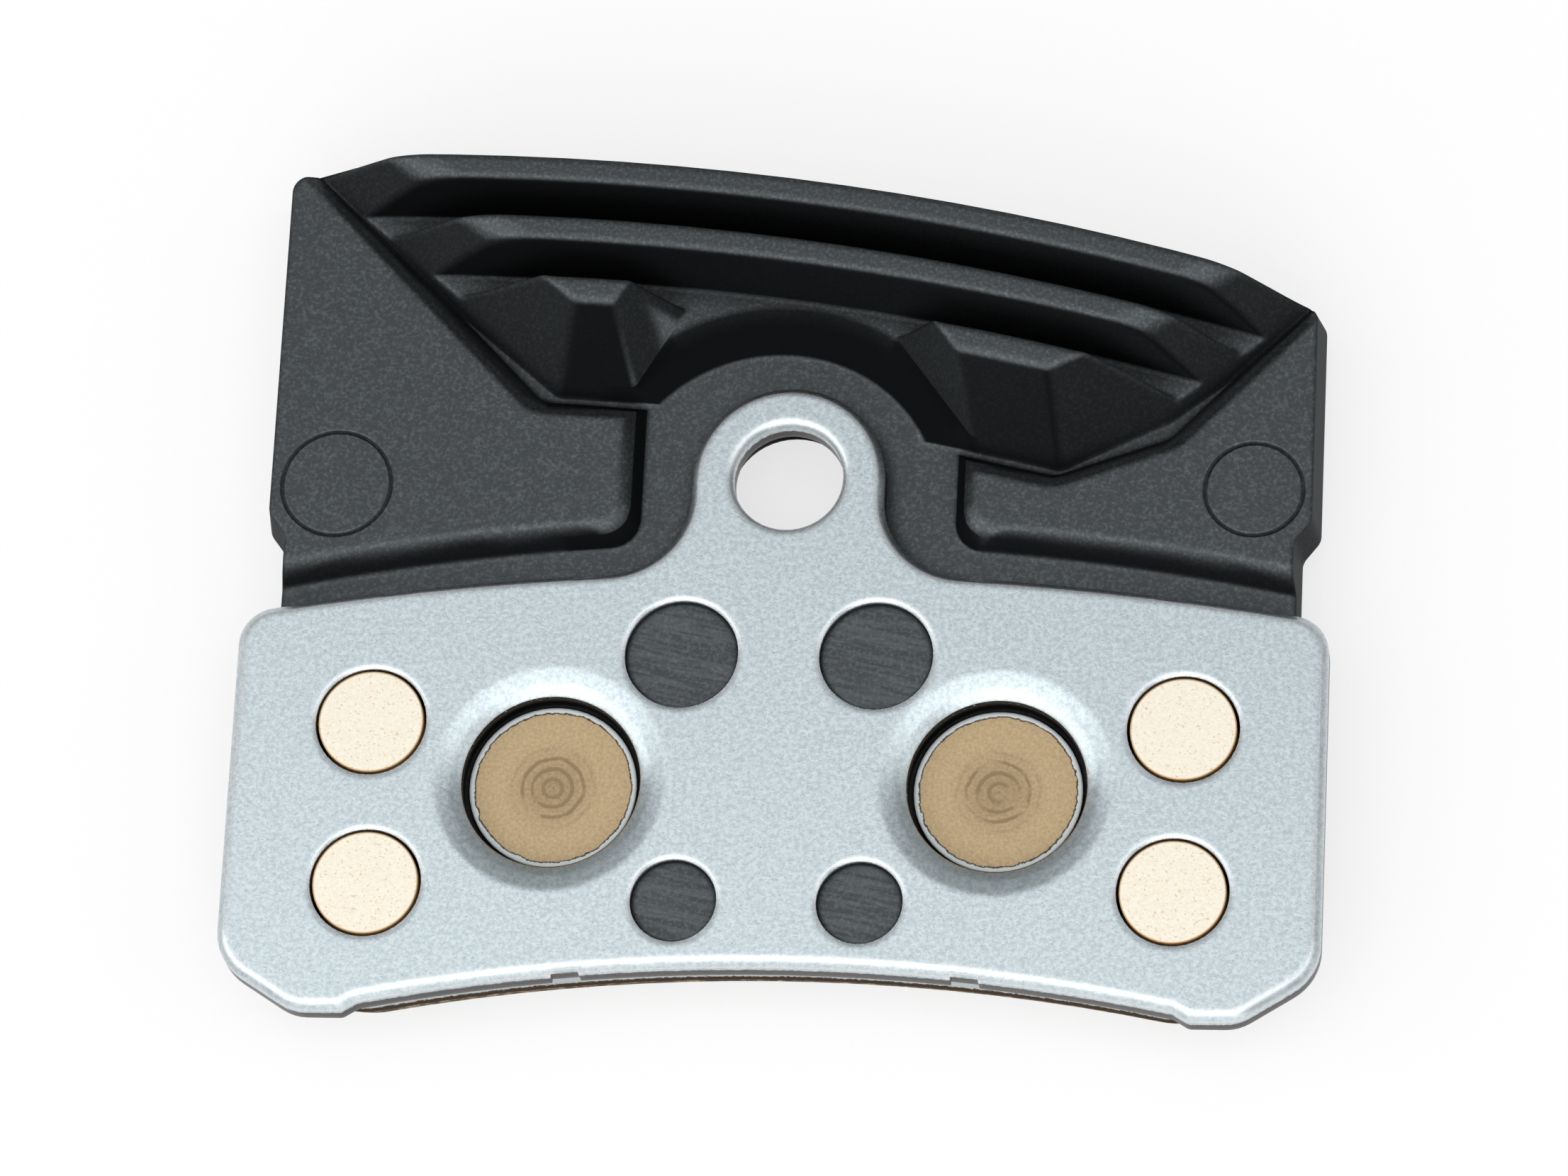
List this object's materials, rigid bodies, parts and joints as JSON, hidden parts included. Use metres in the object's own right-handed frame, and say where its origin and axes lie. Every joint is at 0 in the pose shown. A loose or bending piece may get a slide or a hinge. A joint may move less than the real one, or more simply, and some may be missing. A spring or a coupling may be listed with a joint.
{
  "type": "bicycle disc brake pad",
  "caption": "Disc brake pad with a steel back plate, a sintered lining and a ribbed cooling fin, hung on a retaining pin through its ear.",
  "frame": {"origin": "on the friction face, midway between the two rivets", "axes": "+X along the pad, +Y towards the cooling fin, +Z from the friction face towards the pistons"},
  "size_m": [0.0424, 0.0349, 0.0069],
  "materials": {
    "stainless_plate": "tumbled satin",
    "black_casting": "satin black coat on cast aluminium",
    "carrier_steel": "plain",
    "sintered_lining": "ground sintered metal",
    "rivet_bronze": "formed, satin",
    "stud_bronze": "fine speckle"
  },
  "bodies": {
    "root": {"back_plate": "stainless_plate", "cooling_fin": "black_casting", "friction_carrier": "carrier_steel", "friction_lining": "sintered_lining", "rivet_left": "rivet_bronze", "rivet_right": "rivet_bronze", "stud_upper_left": "stud_bronze", "stud_upper_right": "stud_bronze", "stud_lower_left": "stud_bronze", "stud_lower_right": "stud_bronze"}
  },
  "joints": []
}
